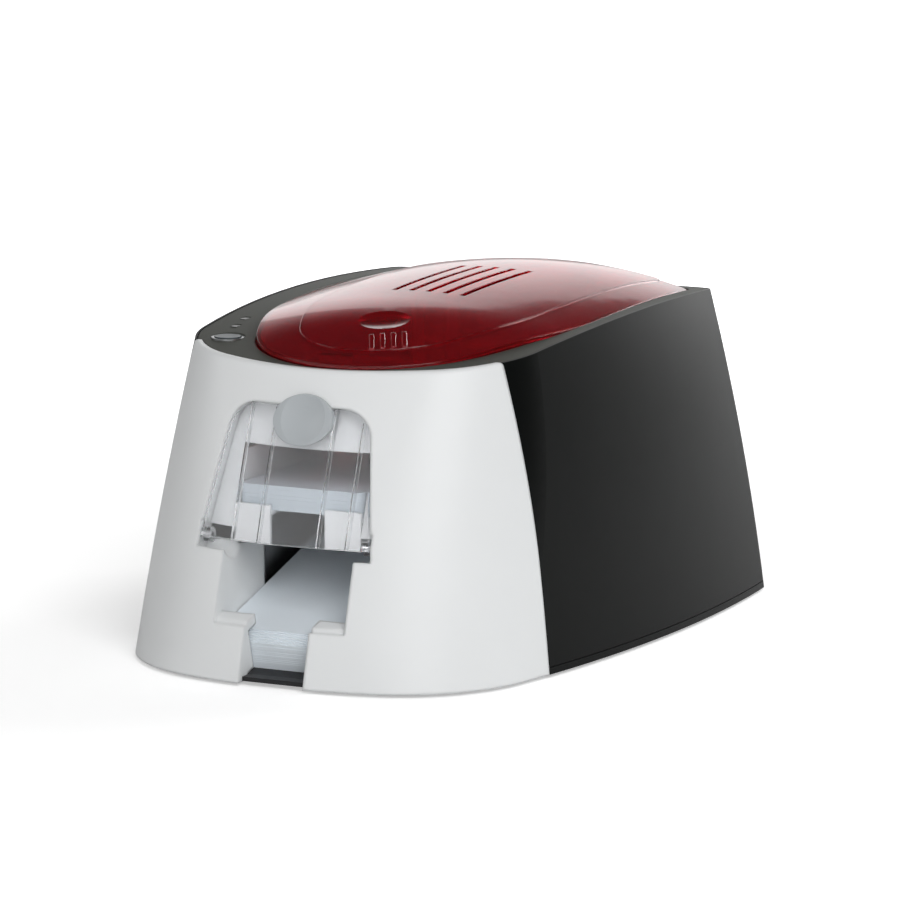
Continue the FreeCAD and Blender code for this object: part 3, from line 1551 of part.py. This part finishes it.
def build():
    height = roller_height()
    exit_y, exit_z = exit_place()
    nodes = {
        "base_pan": base_pan(),
        "front_cover": front_cover(),
        "rear_shell": rear_shell(),
        "top_bezel": top_bezel(),
        "inner_deck": inner_deck(),
        "lid": lid(),
        "hinge_brackets": Part.makeCompound([hinge_bracket(-1), hinge_bracket(1)]),
        "hinge_pins": Part.makeCompound([hinge_pin(-1), hinge_pin(1)]),
        "feeder_flap": feeder_flap(),
        "flap_thumb_tab": flap_thumb_tab(),
        "flap_pins": Part.makeCompound([flap_pin_shape(-1, 0), flap_pin_shape(1, 0)]),
        "feeder_frame": feeder_frame(),
        "feeder_tray": feeder_tray(),
        "feeder_cards": card_block(feeder_stack_front_y, feeder_floor_height, feeder_stack_height),
        "output_tray": output_tray(),
        "output_cards": output_cards(),
        "power_button": power_button(),
        "button_ring": button_ring(),
        "status_lights": Part.makeCompound([light_block(x, y, 0, 0) for x, y in light_places()]),
        "drive_motor": drive_motor(),
        "motor_pinion": pinion_on_shaft("motor_pinion", motor_length),
        "ribbon_motor": ribbon_motor(),
        "ribbon_pinion": pinion_on_shaft("ribbon_pinion", ribbon_motor_length),
        "ribbon_cassette": ribbon_cassette(),
        "supply_spool": supply_spool(),
        "takeup_spool": takeup_spool(),
        "takeup_drive": takeup_drive(),
        "ribbon_web": ribbon_web(),
        "print_head": print_head(),
        "head_heatsink": head_heatsink(),
        "head_bracket": head_bracket(),
        "card_flipper": card_flipper(),
        "main_board": main_board(),
        "usb_port": usb_port(),
        "power_inlet": power_inlet(),
        "left_side_plate": side_plate(-1),
        "right_side_plate": side_plate(1),
        "tie_bars": Part.makeCompound(tie_bars()),
        "shaft_bushes": Part.makeCompound(bearings()),
        "idler_posts": Part.makeCompound(idler_posts()),
        "rubber_feet": Part.makeCompound([rubber_foot(x, y) for x, y in foot_places()]),
        "base_screws": Part.makeCompound([base_screw(x, y) for x, y in screw_places()]),
        "exit_roller": moulded_roller(exit_y, exit_z, exit_roller_radius, True),
        "cleaning_roller": moulded_roller(feed_front_y, upper_roller_height(), upper_roller_radius, False),
    }
    nodes.update(roller_pair("pick", pick_y, height, True, False))
    nodes.update(roller_pair("front_feed", feed_front_y, height, True, True))
    nodes.update(roller_pair("platen", platen_y, height, False, True))
    nodes.update(roller_pair("rear_feed", feed_rear_y, height, False, True))
    nodes["front_feed_gears"] = Part.makeCompound([gear_node("front_feed_gear"),
                                                   gear_node("front_feed_gear_left")])
    for name in ("platen_gear", "rear_feed_gear", "exit_gear", "pick_gear",
                 "front_idler_gear", "rear_idler_gear", "left_idler_gear"):
        nodes[name] = gear_node(name)
    return nodes


os.makedirs("parts", exist_ok=True)
for node_name, node_shape in build().items():
    node_shape.translate(vec(0, -body_depth / 2, foot_height))
    box_now = node_shape.BoundBox
    print(node_name, len(node_shape.Solids), node_shape.isValid(), round(node_shape.Volume),
          [round(v, 1) for v in (box_now.XMin, box_now.XMax, box_now.YMin, box_now.YMax,
                                 box_now.ZMin, box_now.ZMax)])
    node_shape.exportStep(os.path.join("parts", node_name + ".step"))
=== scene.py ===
import json
import math
import random

import bmesh
import bpy
from mathutils import Matrix, Vector

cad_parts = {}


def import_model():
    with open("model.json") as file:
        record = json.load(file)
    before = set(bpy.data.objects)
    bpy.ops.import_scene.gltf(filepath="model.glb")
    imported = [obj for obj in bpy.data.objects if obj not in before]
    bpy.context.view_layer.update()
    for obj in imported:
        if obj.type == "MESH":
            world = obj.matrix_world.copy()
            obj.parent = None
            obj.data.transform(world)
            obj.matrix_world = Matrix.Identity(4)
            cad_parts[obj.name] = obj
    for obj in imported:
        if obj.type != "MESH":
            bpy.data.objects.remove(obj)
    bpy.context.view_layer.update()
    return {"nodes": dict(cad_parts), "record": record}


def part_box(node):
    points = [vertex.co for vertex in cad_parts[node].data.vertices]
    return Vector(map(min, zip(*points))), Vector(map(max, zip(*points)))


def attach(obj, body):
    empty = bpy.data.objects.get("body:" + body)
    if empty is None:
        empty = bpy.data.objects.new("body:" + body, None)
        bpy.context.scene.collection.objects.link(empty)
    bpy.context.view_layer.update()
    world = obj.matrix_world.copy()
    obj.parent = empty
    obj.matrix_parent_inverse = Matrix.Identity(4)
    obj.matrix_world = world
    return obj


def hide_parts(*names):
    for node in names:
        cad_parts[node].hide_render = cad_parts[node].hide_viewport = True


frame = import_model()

NODES = frame["nodes"]
MM = 0.001

# Node trees

TONE_START = 0.35
TONE_END = 0.65
BEVEL_SAMPLES = 6


class Graph:
    """Node tree of a material or of the world, with short calls for its nodes."""

    def __init__(self, owner):
        owner.use_nodes = True
        self.tree = owner.node_tree
        self.tree.nodes.clear()

    def node(self, kind, **values):
        made = self.tree.nodes.new(kind)
        for key, value in values.items():
            setattr(made, key, value)
        return made

    def join(self, value, socket):
        """Links another node's output to a socket, or sets the socket to a plain value."""
        if isinstance(value, bpy.types.NodeSocket):
            self.tree.links.new(value, socket)
        else:
            socket.default_value = value

    def math(self, operation, *values):
        made = self.node("ShaderNodeMath", operation=operation)
        for value, socket in zip(values, made.inputs):
            self.join(value, socket)
        return made.outputs[0]

    def ramp(self, value, low, high, first, last, kind="LINEAR"):
        """Number that goes from first to last while a value goes from low to high."""
        made = self.node("ShaderNodeMapRange", interpolation_type=kind)
        self.join(value, made.inputs["Value"])
        for name, number in (("From Min", low), ("From Max", high), ("To Min", first), ("To Max", last)):
            made.inputs[name].default_value = number
        return made.outputs["Result"]

    def mix(self, share, first, second):
        made = self.node("ShaderNodeMix", data_type="FLOAT")
        self.join(share, made.inputs["Factor"])
        self.join(first, made.inputs["A"])
        self.join(second, made.inputs["B"])
        return made.outputs["Result"]


class Shader(Graph):
    """Material around one Principled shader."""

    def __init__(self, name):
        self.material = bpy.data.materials.new(name)
        super().__init__(self.material)
        self.bsdf = self.node("ShaderNodeBsdfPrincipled")
        self.place = self.node("ShaderNodeTexCoord").outputs["Object"]
        out = self.node("ShaderNodeOutputMaterial")
        self.join(self.bsdf.outputs["BSDF"], out.inputs["Surface"])

    def set(self, **values):
        """Sets or links the shader's sockets, with an underscore for each space in a socket's name."""
        for key, value in values.items():
            self.join(value, self.bsdf.inputs[key.replace("_", " ")])

    def noise(self, scale, detail=3.0, squeeze=(1, 1, 1)):
        """Noise fixed to the piece, of a scale per metre, squeezed so many times along each axis."""
        mapping = self.node("ShaderNodeMapping")
        self.join(squeeze, mapping.inputs["Scale"])
        self.join(self.place, mapping.inputs["Vector"])
        made = self.node("ShaderNodeTexNoise")
        self.join(scale, made.inputs["Scale"])
        self.join(detail, made.inputs["Detail"])
        self.join(mapping.outputs["Vector"], made.inputs["Vector"])
        return made.outputs["Fac"]

    def tone(self, noise, colour, low, high):
        """Base colour that wanders with a noise between two shares of one colour."""
        made = self.node("ShaderNodeValToRGB")
        first, last = made.color_ramp.elements
        first.position = TONE_START
        last.position = TONE_END
        first.color = tint(colour, low)
        last.color = tint(colour, high)
        self.join(noise, made.inputs["Fac"])
        self.set(Base_Color=made.outputs["Color"])

    def rough(self, noise, low, high):
        self.set(Roughness=self.ramp(noise, 0.0, 1.0, low, high))

    def bump(self, noise, strength, depth, edge=0.0):
        """Relief from a noise, on edges that look rounded to a radius."""
        made = self.node("ShaderNodeBump")
        if edge:
            soft = self.node("ShaderNodeBevel", samples=BEVEL_SAMPLES)
            self.join(edge, soft.inputs["Radius"])
            self.join(soft.outputs["Normal"], made.inputs["Normal"])
        self.join(strength, made.inputs["Strength"])
        self.join(depth, made.inputs["Distance"])
        self.join(noise, made.inputs["Height"])
        self.set(Normal=made.outputs["Normal"])


def tint(colour, share):
    """Opaque colour at a share of its brightness."""
    return tuple(min(1.0, c * share) for c in colour) + (1.0,)


# Kinds of material. Mottles, grains and wrinkles are noise scales per metre.

PLASTIC_MOTTLE = 14.0
PLASTIC_ROUGH_SPREAD = 0.03
PLASTIC_RELIEF = 0.35
COAT_ROUGHNESS = 0.06


def plastic(name, colour, rough, grain=900.0, depth=0.02 * MM, vary=0.04, specular=0.5, coat=0.0, edge=0.0):
    """Moulded plastic with a fine grain and a faint wide mottle."""
    s = Shader(name)
    mottle = s.noise(PLASTIC_MOTTLE)
    s.tone(mottle, colour, 1 - vary, 1 + vary)
    s.rough(mottle, rough - PLASTIC_ROUGH_SPREAD, rough + PLASTIC_ROUGH_SPREAD)
    s.bump(s.noise(grain, detail=2.0), PLASTIC_RELIEF, depth, edge)
    s.set(Specular_IOR_Level=specular, Coat_Weight=coat, Coat_Roughness=COAT_ROUGHNESS)
    return s.material


CLEAR_MOTTLE = 20.0
CLEAR_GRAIN = 220.0
CLEAR_DEPTH = 0.02 * MM
CLEAR_ROUGH_SPREAD = 0.03
CLEAR_RELIEF = 0.06


def clear(name, colour, rough, ior, through, vary, edge, specular=0.5):
    """Tinted or clear moulding that light passes through, with faint ripples."""
    s = Shader(name)
    mottle = s.noise(CLEAR_MOTTLE)
    s.tone(mottle, colour, 1 - vary, 1)
    s.rough(mottle, rough, rough + CLEAR_ROUGH_SPREAD)
    s.bump(s.noise(CLEAR_GRAIN, detail=2.0), CLEAR_RELIEF, CLEAR_DEPTH, edge)
    s.set(Transmission_Weight=through, IOR=ior, Specular_IOR_Level=specular)
    return s.material


METAL_VARY = 0.08
METAL_SMOOTHER = 0.06
METAL_ROUGHER = 0.08
METAL_RELIEF = 0.2
METAL_DEPTH = 0.03 * MM


def metal(name, colour, rough, squeeze=(1, 1, 1), grain=60.0):
    """Metal with a grain that runs along the axes where it isn't squeezed."""
    s = Shader(name)
    streaks = s.noise(grain, detail=4.0, squeeze=squeeze)
    s.tone(streaks, colour, 1 - METAL_VARY, 1 + METAL_VARY)
    s.rough(streaks, rough - METAL_SMOOTHER, rough + METAL_ROUGHER)
    s.bump(streaks, METAL_RELIEF, METAL_DEPTH)
    s.set(Metallic=1.0)
    return s.material


RUBBER_MOTTLE = 40.0
RUBBER_GRAIN = 1400.0
RUBBER_VARY = 0.15
RUBBER_ROUGH_SPREAD = 0.1
RUBBER_RELIEF = 0.5
RUBBER_DEPTH = 0.05 * MM


def rubber(name, colour, rough=0.75):
    """Dull rubber with a fine ground surface."""
    s = Shader(name)
    grain = s.noise(RUBBER_GRAIN)
    s.tone(s.noise(RUBBER_MOTTLE), colour, 1 - RUBBER_VARY, 1 + RUBBER_VARY)
    s.rough(grain, rough - RUBBER_ROUGH_SPREAD, rough + RUBBER_ROUGH_SPREAD)
    s.bump(grain, RUBBER_RELIEF, RUBBER_DEPTH)
    return s.material


YELLOW_DYE = (0.62, 0.47, 0.03)
MAGENTA_DYE = (0.50, 0.02, 0.16)
CYAN_DYE = (0.01, 0.16, 0.42)
BLACK_RESIN = (0.008, 0.008, 0.009)
OVERLAY = (0.45, 0.45, 0.44)
PANELS = [YELLOW_DYE, MAGENTA_DYE, CYAN_DYE, BLACK_RESIN, OVERLAY]
PANEL_ROW = 120.0 * MM
FILM_WRINKLES = 180.0
FILM_RELIEF = 0.3
FILM_DEPTH = 0.06 * MM
FILM_ROUGHNESS = 0.14
FILM_COAT = 0.5


def dye_film(name):
    """Ribbon with a repeating row of dye panels along its length."""
    s = Shader(name)
    parts = s.node("ShaderNodeSeparateXYZ")
    s.join(s.place, parts.inputs["Vector"])
    rows = s.math("MULTIPLY", parts.outputs["Y"], 1 / PANEL_ROW)
    made = s.node("ShaderNodeValToRGB")
    made.color_ramp.interpolation = "CONSTANT"
    stops = made.color_ramp.elements
    stops[0].color = tint(PANELS[0], 1)
    stops[1].position = 1 / len(PANELS)
    stops[1].color = tint(PANELS[1], 1)
    for i in range(2, len(PANELS)):
        stops.new(i / len(PANELS)).color = tint(PANELS[i], 1)
    s.join(s.math("FRACT", rows), made.inputs["Fac"])
    s.bump(s.noise(FILM_WRINKLES, detail=2.0), FILM_RELIEF, FILM_DEPTH)
    s.set(Base_Color=made.outputs["Color"], Roughness=FILM_ROUGHNESS, Coat_Weight=FILM_COAT)
    return s.material


# Looks of the material slots

LOOKS = {
    "white_plastic": plastic("looks_white_plastic", colour=(0.81, 0.825, 0.83), rough=0.38, grain=1200.0,
                             depth=0.01 * MM, vary=0.012, specular=0.4, edge=2.0 * MM),
    "dark_plastic": plastic("looks_dark_plastic", colour=(0.0020, 0.0026, 0.0024), rough=0.36, grain=1500.0,
                            depth=0.03 * MM, vary=0.08, specular=0.15),
    "grey_plastic": plastic("looks_grey_plastic", colour=(0.070, 0.073, 0.064), rough=0.48, grain=1500.0,
                            depth=0.03 * MM, vary=0.05, specular=0.14, edge=1.2 * MM),
    "frame_plastic": plastic("looks_frame_plastic", colour=(0.012, 0.012, 0.014), rough=0.45,
                             depth=0.03 * MM, vary=0.08),
    "tray_plastic": plastic("looks_tray_plastic", colour=(0.79, 0.80, 0.81), rough=0.4,
                            vary=0.02, edge=0.6 * MM),
    "tab_plastic": plastic("looks_tab_plastic", colour=(0.46, 0.49, 0.51), rough=0.34,
                           depth=0.01 * MM, vary=0.02, coat=0.2, edge=0.5 * MM),
    "lid_plastic": clear("looks_lid_plastic", colour=(0.60, 0.008, 0.019), rough=0.07, ior=1.49,
                         through=0.90, vary=0.03, edge=0.6 * MM, specular=0.45),
    "clear_plastic": clear("looks_clear_plastic", colour=(0.94, 0.945, 0.955), rough=0.17, ior=1.18,
                           through=0.94, vary=0.02, edge=0.5 * MM),
    "card_plastic": plastic("looks_card_plastic", colour=(0.80, 0.86, 0.91), rough=0.35, grain=2500.0,
                            depth=0.01 * MM, vary=0.015),
    "light_window": plastic("looks_light_window", colour=(0.02, 0.02, 0.02), rough=0.3,
                            depth=0.01 * MM, vary=0.05),
    "steel": metal("looks_steel", colour=(0.56, 0.56, 0.57), rough=0.25, squeeze=(1, 12, 12)),
    "plated_sheet": metal("looks_plated_sheet", colour=(0.62, 0.63, 0.64), rough=0.34, grain=35.0),
    "aluminium": metal("looks_aluminium", colour=(0.74, 0.75, 0.76), rough=0.32, squeeze=(10, 1, 1)),
    "brass": metal("looks_brass", colour=(0.66, 0.48, 0.20), rough=0.28),
    "roller_rubber": rubber("looks_roller_rubber", colour=(0.018, 0.018, 0.02)),
    "platen_rubber": rubber("looks_platen_rubber", colour=(0.07, 0.07, 0.075)),
    "foot_rubber": rubber("looks_foot_rubber", colour=(0.02, 0.02, 0.02), rough=0.85),
    "tack_rubber": rubber("looks_tack_rubber", colour=(0.03, 0.10, 0.30), rough=0.45),
    "gear_plastic": plastic("looks_gear_plastic", colour=(0.72, 0.70, 0.62), rough=0.42),
    "motor_metal": metal("looks_motor_metal", colour=(0.05, 0.05, 0.055), rough=0.38),
    "ribbon_film": plastic("looks_ribbon_film", colour=(0.010, 0.010, 0.012), rough=0.12, grain=300.0,
                           depth=0.01 * MM, vary=0.2, specular=0.6, coat=0.4),
    "spool_plastic": plastic("looks_spool_plastic", colour=(0.03, 0.03, 0.035), rough=0.5),
    "board": plastic("looks_board", colour=(0.012, 0.10, 0.04), rough=0.35, grain=400.0,
                     depth=0.03 * MM, vary=0.2, coat=0.3),
    "head_ceramic": plastic("looks_head_ceramic", colour=(0.62, 0.54, 0.38), rough=0.22),
}
BLANK_CARD_LOOK = plastic("looks_blank_card", colour=(0.58, 0.64, 0.69), rough=0.35, grain=2500.0,
                          depth=0.01 * MM, vary=0.015)
OWN_LOOKS = {
    "power_button": plastic("looks_button", colour=(0.040, 0.055, 0.062), rough=0.34,
                            depth=0.01 * MM, vary=0.08, specular=0.4),
    "ribbon_web": dye_film("looks_dye_film"),
}


def dress():
    """Gives each CAD node the look of its material slot, or one of its own."""
    slots = {row["node"]: row["material_slot"] for row in frame["record"]["subparts"]}
    for name, node in NODES.items():
        node.data.materials.clear()
        node.data.materials.append(OWN_LOOKS.get(name, LOOKS[slots[name]]))


# Stacks of single cards, where the CAD model has one block each. Angles are in degrees.

CARD_WIDTH = 54.0 * MM
CARD_LENGTH = 85.6 * MM
CARD_CORNER = 3.2 * MM
CARD_GAP = 0.06 * MM
CARD_CORNER_STEPS = 6
CARD_SHARP_ANGLE = 35.0
CARD_SIDE_PLAY = 0.12 * MM
CARD_BACK_PLAY = 0.25 * MM
CARD_SEED = 7
FANNED_CARDS = 6
FAN_POWER = 1.5
QUARTER_TURN = 90.0

BLANK_CARDS = 13
FINISHED_CARDS = 20
FINISHED_FAN = 0.35 * MM
FINISHED_HEIGHT = 15.0 * MM
TRAY_SLOPE = 15.4


def rounded_rectangle(x0, x1, y0, y1, radius):
    points = []
    centres = [(x1 - radius, y1 - radius), (x0 + radius, y1 - radius),
               (x0 + radius, y0 + radius), (x1 - radius, y0 + radius)]
    for corner, (cx, cy) in enumerate(centres):
        for i in range(CARD_CORNER_STEPS + 1):
            angle = math.radians(QUARTER_TURN * (corner + i / CARD_CORNER_STEPS))
            points.append((cx + radius * math.cos(angle), cy + radius * math.sin(angle)))
    return points


def prism(bm, points, z0, z1):
    """Adds an upright prism over a closed outline to a mesh."""
    low = [bm.verts.new((x, y, z0)) for x, y in points]
    high = [bm.verts.new((x, y, z1)) for x, y in points]
    bm.faces.new(list(reversed(low)))
    bm.faces.new(high)
    for i in range(len(points)):
        j = (i + 1) % len(points)
        bm.faces.new((low[i], low[j], high[j], high[i]))


def card_stack(name, node, look, count, height, x, y, z, tilt, fan):
    """Stack of separate cards, each a little out of line, with the last few fanned back."""
    bm = bmesh.new()
    pitch = height / count
    for i in range(count):
        side = random.uniform(-CARD_SIDE_PLAY, CARD_SIDE_PLAY)
        fanned = max(0, i - count + FANNED_CARDS)
        back = random.uniform(0.0, CARD_BACK_PLAY) + fan * fanned ** FAN_POWER
        outline = rounded_rectangle(x - CARD_WIDTH / 2 + side, x + CARD_WIDTH / 2 + side,
                                    back, back + CARD_LENGTH, CARD_CORNER)
        prism(bm, outline, i * pitch, (i + 1) * pitch - CARD_GAP)
    mesh = bpy.data.meshes.new(name)
    bm.to_mesh(mesh)
    bm.free()
    mesh.transform(Matrix.Translation((0, y, z)) @ Matrix.Rotation(math.radians(tilt), 4, "X"))
    mesh.materials.append(look)
    mesh.shade_smooth()
    mesh.set_sharp_from_angle(angle=math.radians(CARD_SHARP_ANGLE))
    stack = bpy.data.objects.new(name, mesh)
    bpy.context.collection.objects.link(stack)
    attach(stack, "housing")
    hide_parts(node)


def blank_cards():
    """Level stack in the feeder."""
    low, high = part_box("feeder_cards")
    card_stack("blank_card_stack", "feeder_cards", BLANK_CARD_LOOK, BLANK_CARDS, high[2] - low[2],
               (low[0] + high[0]) / 2, low[1], low[2], tilt=0.0, fan=0.0)


def finished_cards():
    """Stack on the sloping output tray, whose top leans forward over its foot."""
    low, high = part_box("output_cards")
    lean = FINISHED_HEIGHT * math.sin(math.radians(TRAY_SLOPE))
    card_stack("finished_card_stack", "output_cards", LOOKS["card_plastic"], FINISHED_CARDS, FINISHED_HEIGHT,
               (low[0] + high[0]) / 2, low[1] + lean, low[2], tilt=TRAY_SLOPE, fan=FINISHED_FAN)


# Floor, world, lamps and camera, in metres and watts, with the lens in millimetres

FLOOR_HALF = 6.0
FLOOR_DROP = 0.2 * MM
FLOOR_COLOUR = (0.86, 0.86, 0.86, 1.0)
FLOOR_ROUGHNESS = 0.9
FLOOR_WHITE = (1.0, 1.0, 1.0, 1.0)
FLOOR_NEAR = 0.25
FLOOR_FAR = 0.9
FLOOR_NEAR_GLOW = 0.45
FLOOR_FAR_GLOW = 1.0

AMBIENT = 0.30
PLAIN_WHITE = 1.0
GLOSS_DARK = 0.04
GLOSS_LIGHT = 0.95
BACKDROP_WAY = (-0.64, 0.77, 0.0)
BACKDROP_EDGE = 0.72
BACKDROP_FULL = 0.98
BACKDROP_LOW = 0.10
BACKDROP_TOP = 0.60

CAMERA_PLACE = (1.0007, -2.0694, 0.4911)
CAMERA_AIM = (0.0201, -0.0135, 0.0772)
CAMERA_LENS = 228.9
CAMERA_SENSOR = 36.0
CAMERA_NEAR = 0.05
CAMERA_FAR = 50.0


def floor():
    """Pale floor that keeps the printer's shadow near it and fades to plain white further out."""
    s = Shader("studio_floor")
    path = s.node("ShaderNodeLightPath").outputs
    reach = s.node("ShaderNodeVectorMath", operation="LENGTH")
    s.join(s.place, reach.inputs[0])
    fade = s.ramp(reach.outputs["Value"], FLOOR_NEAR, FLOOR_FAR, FLOOR_NEAR_GLOW, FLOOR_FAR_GLOW)
    seen = s.math("MAXIMUM", path["Is Camera Ray"], path["Is Transmission Ray"])
    mirrored = s.math("MULTIPLY", path["Is Glossy Ray"], GLOSS_DARK)
    glow = s.math("MULTIPLY", s.math("MAXIMUM", seen, mirrored), fade)
    s.set(Base_Color=FLOOR_COLOUR, Roughness=FLOOR_ROUGHNESS, Emission_Color=FLOOR_WHITE,
          Emission_Strength=glow)

    mesh = bpy.data.meshes.new("floor")
    corners = [(x * FLOOR_HALF, y * FLOOR_HALF, 0) for x, y in ((-1, -1), (1, -1), (1, 1), (-1, 1))]
    mesh.from_pydata(corners, [], [(0, 1, 2, 3)])
    mesh.materials.append(s.material)
    made = bpy.data.objects.new("floor", mesh)
    bpy.context.collection.objects.link(made)
    made.location.z = -FLOOR_DROP


def world():
    """White to the camera, even for diffuse light, and dark for gloss but for one low bright backdrop."""
    made = bpy.data.worlds.new("studio")
    bpy.context.scene.world = made
    g = Graph(made)
    way = g.node("ShaderNodeTexCoord").outputs["Generated"]
    parts = g.node("ShaderNodeSeparateXYZ")
    g.join(way, parts.inputs[0])
    aside = g.node("ShaderNodeVectorMath", operation="DOT_PRODUCT")
    g.join(way, aside.inputs[0])
    g.join(BACKDROP_WAY, aside.inputs[1])
    height = g.ramp(parts.outputs["Z"], BACKDROP_LOW, BACKDROP_TOP, 1.0, 0.0, "SMOOTHSTEP")
    side = g.ramp(aside.outputs["Value"], BACKDROP_EDGE, BACKDROP_FULL, 0.0, 1.0, "SMOOTHSTEP")
    both = g.math("MULTIPLY", height, side)
    mirrored = g.ramp(both, 0.0, 1.0, GLOSS_DARK, GLOSS_LIGHT, "SMOOTHSTEP")
    path = g.node("ShaderNodeLightPath").outputs
    seen = g.math("MAXIMUM", path["Is Camera Ray"], path["Is Transmission Ray"])
    lit = g.mix(path["Is Glossy Ray"], AMBIENT, mirrored)
    background = g.node("ShaderNodeBackground")
    g.join(g.mix(seen, lit, PLAIN_WHITE), background.inputs["Strength"])
    out = g.node("ShaderNodeOutputWorld")
    g.join(background.outputs["Background"], out.inputs["Surface"])


def aimed(name, data, place, aim):
    """Adds a lamp or a camera that looks from a place towards an aim."""
    made = bpy.data.objects.new(name, data)
    bpy.context.collection.objects.link(made)
    made.location = place
    made.rotation_mode = "QUATERNION"
    made.rotation_quaternion = (Vector(aim) - Vector(place)).to_track_quat("-Z", "Y")
    return made


def lamp(name, place, aim, size, power):
    data = bpy.data.lights.new(name, "AREA")
    data.shape = "DISK"
    data.size = size
    data.energy = power
    aimed(name, data, place, aim)


def lamps():
    lamp("key", place=(1.3, -1.5, 1.4), aim=(0, -0.05, 0.07), size=1.6, power=31)
    lamp("fill", place=(-1.6, -0.9, 1.0), aim=(0, 0, 0.07), size=1.2, power=3.5)
    lamp("back", place=(0.9, 1.6, 1.2), aim=(0, 0, 0.09), size=0.9, power=14)
    lamp("rear_panel", place=(-1.2, 2.7, 0.7), aim=(0, 0, 0.12), size=1.2, power=2)
    lamp("side_panel", place=(0.55, 3.0, 0.85), aim=(0.1, 0.05, 0.09), size=1.4, power=30)
    lamp("front", place=(0.5, -2.6, 0.3), aim=(0, 0, 0.06), size=0.9, power=3)


def camera():
    data = bpy.data.cameras.new("camera")
    data.lens = CAMERA_LENS
    data.sensor_width = CAMERA_SENSOR
    data.clip_start = CAMERA_NEAR
    data.clip_end = CAMERA_FAR
    bpy.context.scene.camera = aimed("camera", data, CAMERA_PLACE, CAMERA_AIM)


dress()
random.seed(CARD_SEED)
blank_cards()
finished_cards()
floor()
world()
lamps()
camera()
bpy.context.scene.view_settings.view_transform = "Standard"
